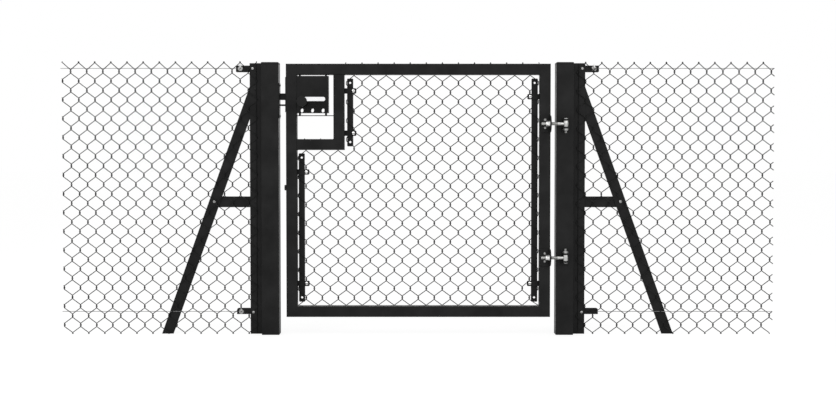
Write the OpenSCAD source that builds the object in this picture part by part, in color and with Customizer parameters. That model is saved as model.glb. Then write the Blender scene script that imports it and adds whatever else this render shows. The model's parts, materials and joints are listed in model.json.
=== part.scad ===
// A single chain link garden gate between two square posts, with a fence stub on each side.
// The hinge post stands on the origin, the leaf runs towards -X, and the ground is at Z 0.
// The side with the hinges and the lever in view is -Y.

/* [Gateway] */
// Clear width between the two gate posts
clear_w = 1018; // [960:1:1300]
// Height of the gate posts, cap included
post_h = 1000; // [900:1:1300]
// Width of a square gate post
post_w = 64; // [56:1:76]
// Wall of a gate post
post_wall = 2.5; // [2:0.5:4]
// Outside corner radius of the square tubes
tube_r = 3; // [2:0.5:4]
// Thickness of the plastic cap on a gate post
cap_t = 6; // [4:1:12]

/* [Leaf] */
// Width of the leaf's square tubes
tube_w = 40; // [36:1:46]
// Wall of the leaf's square tubes
tube_wall = 2; // [1.5:0.5:3]
// Gap between the lock post and the leaf
lock_gap = 27; // [24:1:32]
// Gap between the leaf and the hinge post
hinge_gap = 21; // [18:1:26]
// Gap under the leaf
ground_gap = 66; // [40:1:100]
// Step from the top of the posts down to the top of the leaf
leaf_drop = 4; // [0:1:20]

/* [Chain link] */
// Width of one mesh, measured across the fabric
mesh_w = 60; // [50:1:75]
// Height of one half mesh, from one row of knuckles to the next
row_h = 34.6; // [30:0.2:42]
// Height of a knuckle, where two wires hook together
knuckle_h = 13.6; // [9:0.2:16]
// Diameter of the coated wire
wire_d = 3.1; // [2:0.1:3.5]
// Thickness of the woven fabric
fabric_t = 7.5; // [6:0.5:10]
// Height of the fabric above the leaf's top rail
fabric_rise = 2; // [0:0.5:6]

/* [Lock box] */
// Height of the open window under the shelf
window_h = 85; // [76:1:150]
// Thickness of the shelf under the lock case
shelf_t = 2; // [2:0.5:5]
// Width of the lock case
case_w = 116; // [105:1:124]
// Height of the lock case
case_h = 135.5; // [125:0.5:150]
// Depth of the lock case
case_d = 36; // [32:1:36]
// Wall of the lock case
case_wall = 2.5; // [1.5:0.5:4]
// Space between the lock case and the upright beside it
case_side_gap = 18; // [11:1:50]
// Space over the lock case
case_top_gap = 4.5; // [3:0.5:12]
// Space between the lock case and the shelf
case_low_gap = 8.5; // [4:0.5:12]
// Width of a slot in the lock case
slot_w = 12.5; // [6:0.5:14]
// Height of a slot in the lock case
slot_h = 15; // [13:0.5:20]
// Distance of the outer slots from the sides of the lock case
slot_in = 19.4; // [14:0.2:26]

/* [Latch and lever] */
// Distance from the top rail down to the latch bolt
latch_drop = 80; // [74:1:88]
// Height of the latch bolt
latch_h = 24; // [18:1:28]
// Thickness of the latch bolt
latch_t = 16; // [12:1:20]
// Travel of the latch bolt
latch_travel = 18; // [14:1:18]
// Height of the small auxiliary latch
small_latch_h = 6; // [4:0.5:8]
// Space between the latch bolt and the auxiliary latch
latch_space = 16; // [10:1:18]
// Thickness of the strike plate
strike_t = 3.5; // [2:0.5:5]
// Height of the strike plate
strike_h = 129; // [110:1:150]
// Radius of the lever's round hub
hub_r = 19; // [14:0.5:22]
// Length of the lever from the hub's centre
grip_l = 85; // [60:1:90]
// Height of the lever's grip
grip_h = 15; // [12:0.5:22]
// Thickness of the lever's grip
grip_t = 12; // [8:0.5:16]
// Space between the lock case and the lever's grip
grip_reach = 36; // [30:1:50]

/* [Hinges] */
// Distance of each hinge from the top or bottom of the leaf
hinge_inset = 220; // [120:1:260]
// Distance of the hinge axis in front of the post
axis_out = 22; // [20:1:30]
// Diameter of the eye bolt's rod
rod_d = 12; // [10:1:14]
// Length of the eye bolt, from the hinge axis to its end
rod_l = 88.5; // [84:0.5:100]
// Outside diameter of the eye
eye_d = 19; // [17:0.5:24]
// Height of the eye
eye_h = 24; // [20:0.5:30]
// Diameter of the hinge pin
pin_d = 10; // [8:0.5:11]
// Thickness of the clevis ears and of the hinge bracket
ear_t = 5; // [4:0.5:6]
// Height of the hinge bracket on the leaf
bracket_h = 62; // [50:1:80]
// Reach of the hinge bracket in front of the leaf
bracket_reach = 40; // [36:1:50]
// Length of the nut on the eye bolt
nut_l = 14; // [8:1:18]
// Width of the nut across its flats
nut_w = 19; // [17:1:22]

/* [Tension bars] */
// Width of a flat tension bar
bar_w = 22; // [18:1:26]
// Thickness of a flat tension bar
bar_t = 4.5; // [3:0.5:6]
// Gap between a tension bar and the stile beside it
bar_gap = 5.5; // [4:0.5:9]
// Gap between a tension bar and the lock box upright
upright_bar_gap = 8.5; // [5:0.5:12]
// Length of the clamp lugs
lug_l = 43; // [38:1:48]
// Height of the clamp lugs
lug_h = 20; // [16:1:26]
// Thickness of the clamp lugs
lug_t = 4; // [3:0.5:5]
// Diameter of the hole near each end of a tension bar
bar_hole_d = 8; // [5:0.5:10]

/* [Fence stubs] */
// Length of each fence stub beyond its gate post
stub_l = 742; // [500:1:900]
// Width of both flanges of the fence end post
angle_w = 45; // [42:1:52]
// Thickness of the fence end post's flanges
angle_t = 4; // [3:0.5:6]
// Width of the strut and tie flanges
brace_w = 40; // [34:1:44]
// Distance of the strut's foot from the gate post
strut_foot = 353; // [300:1:420]
// Distance from the top of the fence end post down to the point where the strut leaves it
strut_drop = 144; // [120:1:300]
// Height of the tie's centre
tie_z = 489; // [300:1:560]
// Distance of the tension rod and of the first knuckles from the gate post
rod_in = 20; // [16:1:26]
// Diameter of the tension rod
tension_rod_d = 3.6; // [3:0.1:3.7]
// Drop of the upper tension wire below the top
wire_drop = 19; // [14:1:24]
// Height of the lower tension wire
low_wire_z = 83; // [60:1:110]
// Diameter of the tension wires
tension_wire_d = 2.2; // [1.6:0.2:3]
// Height of a wire tensioner bracket
tensioner_h = 21; // [20:1:26]
// Diameter of a wire tensioner spool
spool_d = 18.6; // [14:0.2:20]

/* [Hidden] */
$fn = 48;
// Small clearances: between moving pieces, round a pin, and past a cut face
slack = 0.4;
pin_fit = 0.05;
cut = 1;

// Gate posts and leaf
front_y = -post_w / 2;
lock_x = -(clear_w + post_w);
leaf_x0 = lock_x + post_w / 2 + lock_gap;
leaf_x1 = -post_w / 2 - hinge_gap;
leaf_z0 = ground_gap;
leaf_z1 = post_h - leaf_drop;
back_y = front_y + tube_w;
mid_y = front_y + tube_w / 2;
inner_x0 = leaf_x0 + tube_w;
inner_x1 = leaf_x1 - tube_w;
inner_z0 = leaf_z0 + tube_w;
inner_z1 = leaf_z1 - tube_w;

// Lock box inside the leaf
box_w = case_w + case_side_gap;
box_h = case_top_gap + case_h + case_low_gap + shelf_t + window_h;
upright_x0 = inner_x0 + box_w;
upright_x1 = upright_x0 + tube_w;
rail_z1 = inner_z1 - box_h;
rail_z0 = rail_z1 - tube_w;
case_x1 = inner_x0 + case_w;
case_z1 = inner_z1 - case_top_gap;
case_z0 = case_z1 - case_h;
shelf_z1 = case_z0 - case_low_gap;
case_y0 = mid_y - case_d / 2;
case_y1 = mid_y + case_d / 2;
case_lug_w = 7;
case_lug_in = 10;
slot_z = case_z0 + slot_h / 2 + 2;
slot_shift = 1.4;
slot_x = inner_x0 + slot_in - slot_shift;
slot_pitch = (case_w - 2 * slot_in) / 2;

// Latch, lever and strike
latch_z = inner_z1 - latch_drop;
latch_y = mid_y;
strike_x = lock_x + post_w / 2 + strike_t;
latch_x0 = strike_x + 1.5;
small_latch_z = latch_z - latch_h / 2 - latch_space - small_latch_h / 2;
mouth = 2;
forend_t = 3;
forend_w = 24;
forend_h = 128;
forend_z = latch_z + 7.5;
strike_z = latch_z - 14.5;
strike_w = 40;
spindle_r = 5;
hub_x = leaf_x0 + 62;
hub_z = latch_z - 19;
latch_x1 = hub_x - spindle_r - 11 - latch_travel;
hub_cap_t = 2.5;
grip_rise = 8;
buffer_z = (leaf_z0 + leaf_z1) / 2 + 11;
buffer_h = 20;
buffer_t = 7;

// Hinges
axis_y = front_y - axis_out;
hinge_zs = [leaf_z0 + hinge_inset, leaf_z1 - hinge_inset];
bracket_x0 = leaf_x1 - tube_w + 3;
ear_gap = 0.3;
clevis_w = 22;
clevis_h = 56;
clevis_t = 4;

// Tension bars and clamps
bar_y0 = back_y - bar_t;
lug_y0 = bar_y0 - lug_t;
low_bar_z0 = inner_z0 + 17;
low_bar_z1 = rail_z0 - 12;
top_bar_z1 = inner_z1 - 10.5;
box_bar_z0 = rail_z0 + 14;
bar_hole_in = 16;
lock_bar_x = inner_x0 + bar_gap;
hinge_bar_x = inner_x1 - bar_gap - bar_w;
box_bar_x = upright_x1 + upright_bar_gap;
low_lug_z = low_bar_z0 + 64;

// Fence stubs, in a frame with X outwards from the gate post
brace_t = 4;
strut_meet = post_h - strut_drop;
strut_angle = atan((strut_foot - angle_w) / strut_meet);
strut_top_x = 25;
strut_top_z = strut_meet + (angle_w - strut_top_x) / tan(strut_angle);
tie_y = angle_t + brace_t;
tie_x0 = angle_t + 4;
tie_top_axis_x = strut_foot - (tie_z + brace_w / 2) * tan(strut_angle);
tie_x1 = tie_top_axis_x + (brace_w / 2 - brace_t) / cos(strut_angle) - 2;
tensioner_x0 = rod_in - 1;
tensioner_l = 79;
tensioner_t = 4;
spool_x = tensioner_x0 + 64;
spool_t = 3.6;
wire_y = 2;

// Chain link fabric: rows are counted from the top and wires from the first stile or post
half_w = mesh_w / 2;
leaf_wires = round((inner_x1 - inner_x0) / half_w);
leaf_half_w = (inner_x1 - inner_x0) / leaf_wires;
leaf_top_z = leaf_z1 + fabric_rise;
leaf_rows = round((leaf_top_z - leaf_z0 - 0.75 * tube_w) / row_h);
leaf_row_h = (leaf_top_z - leaf_z0 - 0.75 * tube_w) / leaf_rows;
box_row = ceil((leaf_top_z - rail_z1 - fabric_rise) / leaf_row_h);
box_wire = ceil((upright_x1 - inner_x0) / leaf_half_w);
fence_wires = floor((stub_l - rod_in) / half_w);
fence_top_z = post_h + 1;
fence_rows = round(post_h / row_h);
fence_row_h = post_h / fence_rows;

black = [0.12, 0.12, 0.12];
zinc = [0.75, 0.75, 0.73];
alloy = [0.86, 0.86, 0.87];

// Square with round corners, centred on the origin
module rounded_square(size, radius) {
    square([size, size - 2 * radius], center = true);
    square([size - 2 * radius, size], center = true);
    for (x = [-1, 1], y = [-1, 1])
        translate([x, y] * (size / 2 - radius))
            circle(radius);
}

// Square tube along Z
module tube(size, wall, length) {
    linear_extrude(length)
        difference() {
            rounded_square(size, tube_r);
            rounded_square(size - 2 * wall, tube_r - wall / 2);
        }
}

// Keeps only what lies inside an outline in the X-Z plane
module within(outline) {
    intersection() {
        children();
        translate([0, 2 * post_w, 0])
            rotate([90, 0, 0])
                linear_extrude(4 * post_w)
                    polygon(outline);
    }
}

module upright_tube(x, z0, z1) {
    translate([x + tube_w / 2, mid_y, z0])
        tube(tube_w, tube_wall, z1 - z0);
}

module level_tube(z, x0, x1) {
    translate([x0, mid_y, z + tube_w / 2])
        rotate([0, 90, 0])
            tube(tube_w, tube_wall, x1 - x0);
}

// Solid along X, Y or Z through the middle of something
module pin_y(radius, y0, y1) {
    translate([0, y1, 0])
        rotate([90, 0, 0])
            cylinder(r = radius, h = y1 - y0);
}

module box(low, high) {
    translate(low)
        cube(high - low);
}

// Gate posts
module gate_post(x) {
    color(black)
        translate([x, 0, 0])
            tube(post_w, post_wall, post_h - cap_t);
}

// Plastic cap with a bevelled rim and a plug inside the tube
module post_cap(x) {
    bevel = cap_t / 2;
    plug = post_w - 2 * post_wall - 1;
    color(black)
        translate([x, 0, post_h - cap_t]) {
            difference() {
                linear_extrude(cap_t)
                    rounded_square(post_w, tube_r);
                for (a = [0, 90, 180, 270])
                    rotate([0, 0, a])
                        translate([post_w / 2, 0, cap_t - bevel])
                            rotate([90, 0, 0])
                                linear_extrude(2 * post_w, center = true)
                                    polygon([[0, 0], [bevel, 0], [bevel, bevel], [-bevel, bevel]]);
            }
            translate([0, 0, -2 * cap_t])
                linear_extrude(2 * cap_t)
                    rounded_square(plug, tube_r - post_wall / 2);
        }
}

// Leaf frame, mitred at its corners
module lock_stile() {
    color(black)
        difference() {
            within([[leaf_x0, leaf_z0], [leaf_x0, leaf_z1], [inner_x0, inner_z1], [inner_x0, inner_z0]])
                upright_tube(leaf_x0, leaf_z0, leaf_z1);
            latch_holes(leaf_x0 - cut, inner_x0 - tube_wall - cut);
            latch_pocket(inner_x0 - tube_wall - cut, inner_x0 + cut);
        }
}

module hinge_stile() {
    color(black)
        within([[leaf_x1, leaf_z0], [leaf_x1, leaf_z1], [inner_x1, inner_z1], [inner_x1, inner_z0]])
            upright_tube(inner_x1, leaf_z0, leaf_z1);
}

module top_rail() {
    color(black)
        within([[leaf_x0, leaf_z1], [leaf_x1, leaf_z1], [inner_x1, inner_z1], [inner_x0, inner_z1]])
            level_tube(inner_z1, leaf_x0, leaf_x1);
}

module bottom_rail() {
    color(black)
        within([[leaf_x0, leaf_z0], [leaf_x1, leaf_z0], [inner_x1, inner_z0], [inner_x0, inner_z0]])
            level_tube(leaf_z0, leaf_x0, leaf_x1);
}

module lock_box_upright() {
    color(black)
        within([[upright_x1, rail_z0], [upright_x0, rail_z1], [upright_x0, inner_z1], [upright_x1, inner_z1]])
            upright_tube(upright_x0, rail_z0, inner_z1);
}

module lock_box_rail() {
    color(black)
        within([[inner_x0, rail_z0], [upright_x1, rail_z0], [upright_x0, rail_z1], [inner_x0, rail_z1]])
            level_tube(rail_z0, inner_x0, upright_x1);
}

module lock_box_shelf() {
    color(black)
        box([inner_x0, front_y, shelf_z1 - shelf_t], [upright_x0, back_y, shelf_z1]);
}

// Holes that the two latches slide through, from one X to another
module latch_holes(x0, x1) {
    half_y = latch_t / 2 + slack;
    for (part = [[latch_z, latch_h], [small_latch_z, small_latch_h]])
        box([x0, latch_y - half_y, part[0] - part[1] / 2 - slack],
            [x1, latch_y + half_y, part[0] + part[1] / 2 + slack]);
}

// Pocket that clears both latches and the plate that joins them
module latch_pocket(x0, x1) {
    half_y = latch_t / 2 + slack;
    box([x0, latch_y - half_y, small_latch_z - small_latch_h / 2 - mouth],
        [x1, latch_y + half_y, latch_z + latch_h / 2 + mouth]);
}

// Hollow case with three slots, four seats and the lever's bore
module lock_case() {
    color(black)
        difference() {
            union() {
                box([inner_x0, case_y0, case_z0], [case_x1, case_y1, case_z1]);
                for (x = [inner_x0 + case_lug_in, case_x1 - case_lug_in])
                    box([x - case_lug_w / 2, mid_y - case_lug_w, shelf_z1],
                        [x + case_lug_w / 2, mid_y + case_lug_w, inner_z1]);
            }
            box([inner_x0 + case_wall, case_y0 + case_wall, case_z0 + case_wall],
                [case_x1 - case_wall, case_y1 - case_wall, case_z1 - case_wall]);
            latch_pocket(inner_x0 - cut, inner_x0 + case_wall + cut);
            for (i = [0:2])
                translate([slot_x + i * slot_pitch, 0, slot_z])
                    slot_through();
            translate([hub_x, 0, hub_z])
                pin_y(spindle_r + slack, case_y0 - cut, case_y1 + cut);
        }
}

// Upright slot with round ends, through the whole case
module slot_through() {
    end = slot_h / 2 - slot_w / 2;
    translate([0, case_y1 + cut, 0])
        rotate([90, 0, 0])
            linear_extrude(case_d + 2 * cut) {
                square([slot_w, 2 * end], center = true);
                for (z = [-end, end])
                    translate([0, z])
                        circle(slot_w / 2);
            }
}

module lock_forend() {
    color(black)
        difference() {
            box([leaf_x0 - forend_t, latch_y - forend_w / 2, forend_z - forend_h / 2],
                [leaf_x0, latch_y + forend_w / 2, forend_z + forend_h / 2]);
            latch_holes(leaf_x0 - forend_t - cut, leaf_x0 + cut);
        }
}

// Latch bolt with a bevel on its closing side, and the auxiliary latch on the same slide
module latch_bolt() {
    bevel = latch_t / 2;
    y0 = latch_y - latch_t / 2;
    y1 = latch_y + latch_t / 2;
    plate_x = latch_x1 - 12;
    nose = [[latch_x0, y0], [latch_x1, y0], [latch_x1, y1], [latch_x0 + bevel, y1], [latch_x0, y1 - bevel]];
    color(zinc) {
        for (part = [[latch_z, latch_h], [small_latch_z, small_latch_h]])
            translate([0, 0, part[0] - part[1] / 2])
                linear_extrude(part[1])
                    polygon(nose);
        box([plate_x, y0, small_latch_z], [latch_x1, y1, latch_z]);
    }
}

// Plate on the lock post with a mouth for each latch
module strike_plate() {
    face_x = lock_x + post_w / 2;
    color(black)
        difference() {
            box([face_x, latch_y - strike_w / 2, strike_z - strike_h / 2],
                [strike_x, latch_y + strike_w / 2, strike_z + strike_h / 2]);
            latch_holes(face_x - cut, strike_x + cut);
        }
}

// Lug on the strike plate that stops the latch bolt, and so the leaf, when it closes
module strike_stop() {
    stop_y = latch_y + latch_t / 2 + 1;
    color(black)
        box([strike_x, stop_y, latch_z - latch_h / 2 + mouth],
            [strike_x + 12, stop_y + 7, latch_z + latch_h / 2 - mouth]);
}

// Both hubs of the lever on their common spindle
module lever_hub() {
    base = grip_reach - slack;
    color(black)
        translate([hub_x, 0, hub_z]) {
            pin_y(spindle_r, case_y0 - grip_reach - grip_t - hub_cap_t / 2,
                case_y1 + grip_reach + grip_t + hub_cap_t / 2);
            pin_y(hub_r, case_y0 - grip_reach, case_y0 - grip_reach + base);
            pin_y(hub_r, case_y0 - grip_reach - grip_t - hub_cap_t, case_y0 - grip_reach - grip_t);
            pin_y(hub_r, case_y1 + slack, case_y1 + grip_reach);
            pin_y(hub_r, case_y1 + grip_reach + grip_t, case_y1 + grip_reach + grip_t + hub_cap_t);
        }
}

// Flat grip with a round end, clamped between the two discs of its hub
module lever_grip(y) {
    round_end = 6;
    seat_r = hub_r - 3;
    color(alloy)
        translate([hub_x, y + grip_t, hub_z])
            rotate([90, 0, 0])
                linear_extrude(grip_t)
                    difference() {
                        union() {
                            circle(seat_r);
                            translate([0, grip_rise - grip_h / 2])
                                square([grip_l - round_end, grip_h]);
                            translate([grip_l - 2 * round_end, grip_rise - grip_h / 2 + round_end])
                                square([2 * round_end, grip_h - 2 * round_end]);
                            for (z = [round_end, grip_h - round_end])
                                translate([grip_l - round_end, grip_rise - grip_h / 2 + z])
                                    circle(round_end);
                        }
                        circle(spindle_r + pin_fit);
                    }
}

module stop_buffer() {
    color(black)
        translate([leaf_x0, mid_y, buffer_z])
            rotate([0, -90, 0])
                cylinder(d = buffer_h, h = buffer_t);
}

// Hinges
module hinge_clevis(z) {
    outer = eye_h / 2 + ear_gap + ear_t;
    color(black)
        translate([0, 0, z])
            difference() {
                union() {
                    box([-clevis_w / 2 - 3, front_y - clevis_t, -clevis_h / 2],
                        [clevis_w / 2 + 3, front_y, clevis_h / 2]);
                    for (low = [-outer, outer - ear_t])
                        translate([0, 0, low])
                            linear_extrude(ear_t) {
                                translate([0, axis_y])
                                    circle(d = clevis_w);
                                translate([-clevis_w / 2, axis_y])
                                    square([clevis_w, axis_out]);
                            }
                }
                translate([0, axis_y, -outer - cut])
                    cylinder(r = pin_d / 2 + pin_fit, h = 2 * (outer + cut));
            }
}

// Pin with a domed head above and a nut and thread end below, or the other way up
module hinge_pin(z, flip) {
    outer = eye_h / 2 + ear_gap + ear_t;
    head_h = 5;
    nut_h = 8;
    end_l = 17;
    dome_r = 10.5;
    color(zinc)
        translate([0, axis_y, z])
            mirror([0, 0, flip ? 1 : 0]) {
                translate([0, 0, -outer - end_l])
                    cylinder(d = pin_d, h = 2 * outer + end_l + 1);
                intersection() {
                    translate([0, 0, outer])
                        cylinder(d = pin_d + 6, h = head_h);
                    translate([0, 0, outer + head_h - dome_r])
                        sphere(dome_r);
                }
                translate([0, 0, -outer - nut_h])
                    cylinder(d = pin_d + 9, h = nut_h, $fn = 6);
            }
}

// Angle with a half round upstanding flange that the eye bolt passes through
module hinge_bracket(z) {
    round_y = front_y - (bracket_reach - bracket_h / 2);
    color(black)
        translate([0, 0, z])
            difference() {
                union() {
                    box([bracket_x0, front_y - ear_t, -bracket_h / 2],
                        [leaf_x1, front_y, bracket_h / 2]);
                    intersection() {
                        box([leaf_x1 - ear_t, front_y - bracket_reach - cut, -bracket_h / 2],
                            [leaf_x1, front_y, bracket_h / 2]);
                        union() {
                            box([leaf_x1 - ear_t, round_y, -bracket_h / 2],
                                [leaf_x1, front_y, bracket_h / 2]);
                            translate([leaf_x1 - ear_t, round_y, 0])
                                rotate([0, 90, 0])
                                    cylinder(d = bracket_h, h = ear_t);
                        }
                    }
                }
                translate([leaf_x1 - ear_t - cut, axis_y, 0])
                    rotate([0, 90, 0])
                        cylinder(d = rod_d + 2 * slack, h = ear_t + 2 * cut);
            }
}

// Eye bolt and the nut that holds it in the bracket
module eye_bolt(z) {
    nut_x1 = leaf_x1 - ear_t;
    color(zinc)
        translate([0, axis_y, z]) {
            difference() {
                union() {
                    translate([0, 0, -eye_h / 2])
                        cylinder(d = eye_d, h = eye_h);
                    translate([-rod_l, 0, 0])
                        rotate([0, 90, 0])
                            cylinder(d = rod_d, h = rod_l - pin_d / 2);
                    translate([nut_x1 - nut_l, 0, 0])
                        rotate([0, 90, 0])
                            cylinder(d = nut_w / cos(30), h = nut_l, $fn = 6);
                }
                translate([0, 0, -eye_h / 2 - cut])
                    cylinder(r = pin_d / 2 + pin_fit, h = eye_h + 2 * cut);
            }
        }
}

// Flat bars that stretch the fabric inside the leaf
module tension_bar(x, z0, z1) {
    color(black)
        difference() {
            box([x, bar_y0, z0], [x + bar_w, back_y, z1]);
            for (z = [z0 + bar_hole_in, z1 - bar_hole_in])
                translate([x + bar_w / 2, 0, z])
                    pin_y(bar_hole_d / 2, bar_y0 - cut, back_y + cut);
        }
}

// Lug with round corners that holds a tension bar to the tube beside it
module clamp_lug(x, z, side) {
    corner_r = 5;
    color(black)
        translate([x, lug_y0 + lug_t, z])
            mirror([side > 0 ? 0 : 1, 0, 0])
                rotate([90, 0, 0])
                    linear_extrude(lug_t) {
                        translate([0, -lug_h / 2])
                            square([lug_l - corner_r, lug_h]);
                        translate([lug_l - corner_r, 0])
                            square([2 * corner_r, lug_h - 2 * corner_r], center = true);
                        for (end = [-1, 1])
                            translate([lug_l - corner_r, end * (lug_h / 2 - corner_r)])
                                circle(corner_r);
                    }
}

module bar_clamps() {
    clamp_lug(inner_x0, low_lug_z, 1);
    clamp_lug(inner_x0, low_bar_z1 - 69, 1);
    clamp_lug(upright_x1, box_bar_z0 + 48, 1);
    clamp_lug(upright_x1, top_bar_z1 - 47.5, 1);
    clamp_lug(inner_x1, low_lug_z, -1);
    clamp_lug(inner_x1, top_bar_z1 - 68.5, -1);
}

// One zigzag wire of the fabric.
// It bends from side to side, and at each bend it runs upright for the height of a knuckle.
function bend(wire, row) = (wire + row) % 2 == 0 ? -1 : 1;

function wire_side(side, wire, phase, rows, half, pitch, top_end, low_end) =
    let (slant = atan((pitch - knuckle_h) / half))
    let (mitre = wire_d / 2 * cos(slant) / (1 + sin(slant)))
    [for (row = rows, end = [-1, 1])
        let (turn = bend(wire + phase, row))
        let (x = (wire + 0.5 + turn / 2) * half + side * wire_d / 2)
        let (corner = end * (knuckle_h / 2 + side * turn * mitre))
        let (at_top = row == rows[len(rows) - 1] && end > 0)
        let (at_foot = row == rows[0] && end < 0)
        [x, -row * pitch + (at_top ? top_end : at_foot ? -low_end : corner)]];

function reversed(list) = [for (i = [len(list) - 1:-1:0]) list[i]];

// Rows run from the lowest to the highest, and even and odd wires lie in two layers that meet.
// The phase says which way the first wire bends at the top.
module zigzag_wire(wire, phase, first_row, last_row, half, pitch, top_end, low_end) {
    rows = [for (row = [last_row:-1:first_row]) row];
    right = wire_side(1, wire, phase, rows, half, pitch, top_end, low_end);
    left = wire_side(-1, wire, phase, rows, half, pitch, top_end, low_end);
    translate([0, wire % 2 == 0 ? fabric_t / 2 : fabric_t, 0])
        rotate([90, 0, 0])
            linear_extrude(fabric_t / 2)
                polygon(concat(right, reversed(left)));
}

// Fabric of the leaf, behind its frame
module leaf_mesh_upper() {
    color(black)
        translate([inner_x0, back_y, leaf_top_z])
            for (wire = [box_wire:leaf_wires - 1])
                zigzag_wire(wire, 0, 0, box_row, leaf_half_w, leaf_row_h, knuckle_h / 2, 0);
}

module leaf_mesh_lower() {
    color(black)
        translate([inner_x0, back_y, leaf_top_z])
            for (wire = [0:leaf_wires - 1])
                zigzag_wire(wire, 0, box_row, leaf_rows, leaf_half_w, leaf_row_h,
                    wire < box_wire ? knuckle_h / 2 : 0, knuckle_h / 2);
}

// Places a piece of the fence beside one of the gate posts, with X outwards
module beside(side) {
    if (side > 0) {
        translate([post_w / 2, 0, 0])
            children();
    } else {
        translate([lock_x - post_w / 2, 0, 0])
            mirror([1, 0, 0])
                children();
    }
}

// Angle profile with its corner at the origin and a fillet inside
module angle_profile(size, t) {
    fillet = t;
    square([size, t]);
    square([t, size]);
    translate([t, t])
        difference() {
            square(fillet);
            translate([fillet, fillet])
                circle(fillet);
        }
}

module fence_post(side) {
    color(black)
        beside(side)
            linear_extrude(post_h)
                angle_profile(angle_w, angle_t);
}

// Raking strut behind the fence post, cut level with the ground
module strut(side) {
    length = (strut_top_z + brace_w) / cos(strut_angle);
    color(black)
        beside(side)
            intersection() {
                translate([strut_top_x, angle_t, strut_top_z])
                    rotate([0, 180 - strut_angle, 0])
                        translate([-brace_w / 2, 0, 0])
                            linear_extrude(length)
                                angle_profile(brace_w, brace_t);
                box([0, 0, 0], [stub_l, 2 * brace_w, post_h]);
            }
}

// Level tie from the fence post to the strut, with a spacer at the post
module tie(side) {
    color(black)
        beside(side) {
            translate([tie_x0, tie_y, tie_z - brace_w / 2])
                rotate([90, 0, 90])
                    linear_extrude(tie_x1 - tie_x0)
                        angle_profile(brace_w, brace_t);
            translate([strut_top_x, 0, tie_z])
                pin_y(brace_w / 4, angle_t, tie_y + cut);
        }
}

module fence_mesh(side) {
    color(black)
        beside(side)
            translate([rod_in, -fabric_t, fence_top_z])
                for (wire = [0:fence_wires - 1])
                    zigzag_wire(wire, side > 0 ? 1 : 0, 0, fence_rows,
                        half_w, fence_row_h, knuckle_h / 2, 0);
}

module tension_rod(side) {
    color(black)
        beside(side)
            translate([rod_in + 1, -tension_rod_d / 2 - 0.1, 5])
                cylinder(d = tension_rod_d, h = post_h - 10);
}

// Runs its children at the height of both tension wires
module at_wires() {
    for (z = [low_wire_z, post_h - wire_drop])
        translate([0, 0, z])
            children();
}

module tensioner_brackets(side) {
    corner = tensioner_h / 4;
    color(black)
        beside(side)
            at_wires()
                translate([tensioner_x0, angle_t + tensioner_t, -tensioner_h / 2])
                    rotate([90, 0, 0])
                        linear_extrude(tensioner_t)
                            polygon([[0, 0], [tensioner_l - corner, 0], [tensioner_l, corner],
                                [tensioner_l, tensioner_h - corner], [tensioner_l - corner, tensioner_h],
                                [0, tensioner_h]]);
}

module tensioner_spools(side) {
    color(zinc)
        beside(side)
            at_wires()
                translate([spool_x, 0, 0])
                    pin_y(spool_d / 2, angle_t - spool_t, angle_t);
}

module tension_wires(side) {
    start = spool_x + spool_d / 2;
    color(zinc)
        beside(side)
            at_wires()
                translate([start, wire_y, 0])
                    rotate([0, 90, 0])
                        cylinder(d = tension_wire_d, h = stub_l - start);
}

gate_post(lock_x);  // lock_post
gate_post(0);  // hinge_post
post_cap(lock_x);  // lock_post_cap
post_cap(0);  // hinge_post_cap
fence_post(-1);  // fence_post_left
fence_post(1);  // fence_post_right
strut(-1);  // strut_left
strut(1);  // strut_right
tie(-1);  // tie_left
tie(1);  // tie_right
fence_mesh(-1);  // fence_mesh_left
fence_mesh(1);  // fence_mesh_right
tension_rod(-1);  // tension_rod_left
tension_rod(1);  // tension_rod_right
tensioner_brackets(-1);  // tensioner_brackets_left
tensioner_brackets(1);  // tensioner_brackets_right
tensioner_spools(-1);  // tensioner_spools_left
tensioner_spools(1);  // tensioner_spools_right
tension_wires(-1);  // tension_wires_left
tension_wires(1);  // tension_wires_right
strike_plate();
strike_stop();
hinge_clevis(hinge_zs[1]);  // upper_hinge_clevis
hinge_clevis(hinge_zs[0]);  // lower_hinge_clevis
hinge_pin(hinge_zs[1], false);  // upper_hinge_pin
hinge_pin(hinge_zs[0], true);  // lower_hinge_pin
lock_stile();
hinge_stile();
top_rail();
bottom_rail();
lock_box_upright();
lock_box_rail();
lock_box_shelf();
lock_case();
lock_forend();
leaf_mesh_upper();
leaf_mesh_lower();
tension_bar(lock_bar_x, low_bar_z0, low_bar_z1);  // lock_side_tension_bar
tension_bar(hinge_bar_x, low_bar_z0, top_bar_z1);  // hinge_side_tension_bar
tension_bar(box_bar_x, box_bar_z0, top_bar_z1);  // lock_box_tension_bar
bar_clamps();
hinge_bracket(hinge_zs[1]);  // upper_hinge_bracket
hinge_bracket(hinge_zs[0]);  // lower_hinge_bracket
eye_bolt(hinge_zs[1]);  // upper_eye_bolt
eye_bolt(hinge_zs[0]);  // lower_eye_bolt
stop_buffer();
latch_bolt();
lever_hub();
lever_grip(case_y0 - grip_reach - grip_t);  // front_lever_grip
lever_grip(case_y1 + grip_reach);  // rear_lever_grip
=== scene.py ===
import json
import math
import random

import bmesh
import bpy
from mathutils import Matrix, Vector


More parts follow.
